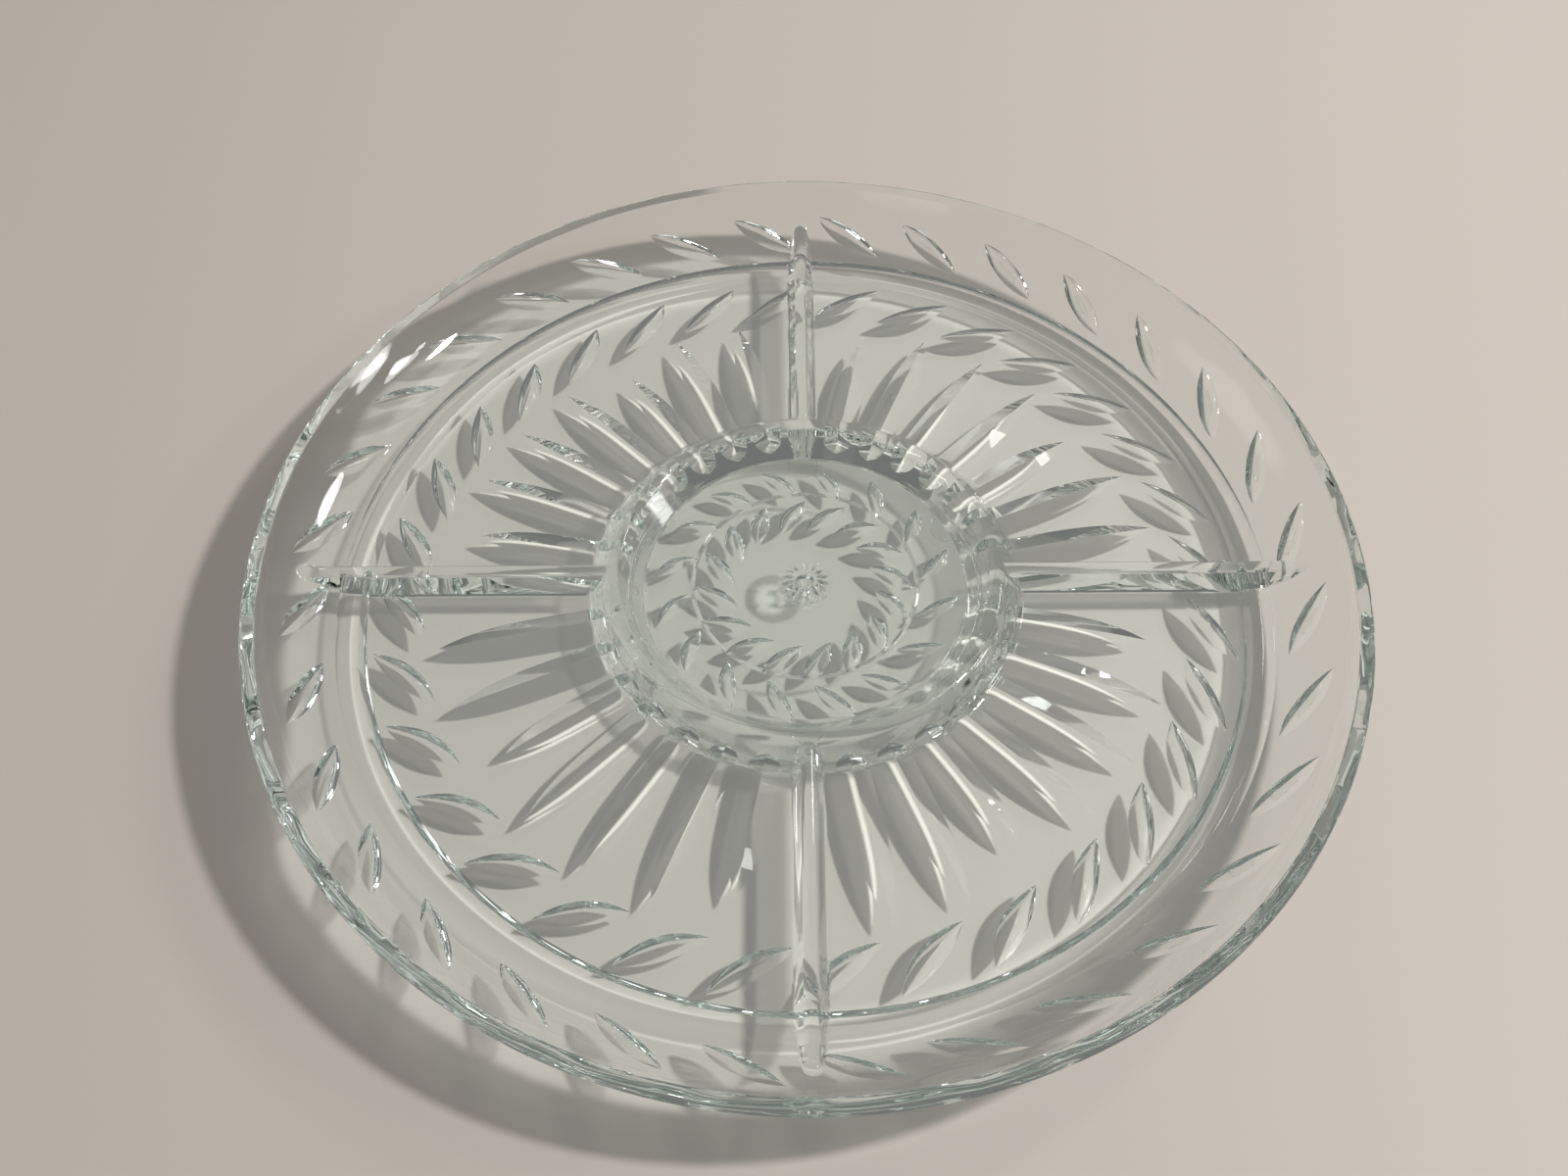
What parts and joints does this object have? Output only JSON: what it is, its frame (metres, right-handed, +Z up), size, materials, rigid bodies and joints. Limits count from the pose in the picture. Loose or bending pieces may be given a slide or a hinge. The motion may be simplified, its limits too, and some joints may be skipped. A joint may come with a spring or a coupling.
{
  "type": "lazy susan turntable",
  "caption": "Round clear-glass divided relish tray with a centre well and dividers, turning on a low clear ball-bearing base.",
  "frame": {"origin": "on the turning axis, at the surface that the foot pads stand on", "axes": "+Z up along the turning axis; two dividers lie along +X and -X, the other two along +Y and -Y"},
  "size_m": [0.33, 0.33, 0.028],
  "materials": {
    "tray_glass": "clear pressed glass, fire polished, faint grey-green in the thick edges",
    "carrier_clear": "clear moulded plastic, polished",
    "bush_clear": "clear moulded plastic",
    "grip_rubber": "clear soft silicone, satin",
    "cage_clear": "clear moulded plastic, thin",
    "ball_glass": "clear polished glass",
    "base_clear": "clear moulded plastic, polished",
    "pin_clear": "clear moulded plastic",
    "clip_clear": "clear moulded plastic",
    "foot_rubber": "clear soft silicone, satin"
  },
  "bodies": {
    "base": {"base_plate": "base_clear", "pivot_pin": "pin_clear", "retaining_clip": "clip_clear", "foot_pad_1": "foot_rubber", "foot_pad_2": "foot_rubber", "foot_pad_3": "foot_rubber", "foot_pad_4": "foot_rubber", "foot_pad_5": "foot_rubber", "foot_pad_6": "foot_rubber"},
    "bearing": {"ball_cage": "cage_clear", "ball_1": "ball_glass", "ball_2": "ball_glass", "ball_3": "ball_glass", "ball_4": "ball_glass", "ball_5": "ball_glass", "ball_6": "ball_glass", "ball_7": "ball_glass", "ball_8": "ball_glass", "ball_9": "ball_glass", "ball_10": "ball_glass", "ball_11": "ball_glass", "ball_12": "ball_glass", "ball_13": "ball_glass", "ball_14": "ball_glass", "ball_15": "ball_glass", "ball_16": "ball_glass"},
    "carrier": {"carrier_plate": "carrier_clear", "pivot_bush": "bush_clear", "grip_pad_1": "grip_rubber", "grip_pad_2": "grip_rubber", "grip_pad_3": "grip_rubber", "grip_pad_4": "grip_rubber"},
    "tray": {"glass_tray": "tray_glass"}
  },
  "joints": [
    {"name": "tray_spin", "type": "hinge", "parent": "base", "child": "carrier", "pos_m": [0, 0, 0.0052], "axis": [0, 0, 1], "continuous": true},
    {"name": "bearing_roll", "type": "hinge", "parent": "base", "child": "bearing", "pos_m": [0, 0, 0.0034], "axis": [0, 0, 1], "continuous": true},
    {"name": "tray_lift", "type": "slide", "parent": "carrier", "child": "tray", "axis": [0, 0, 1], "range_m": [0, 0.03]}
  ],
  "couplings": [
    {"joint": "bearing_roll", "follows": "tray_spin", "ratio": 0.5}
  ]
}
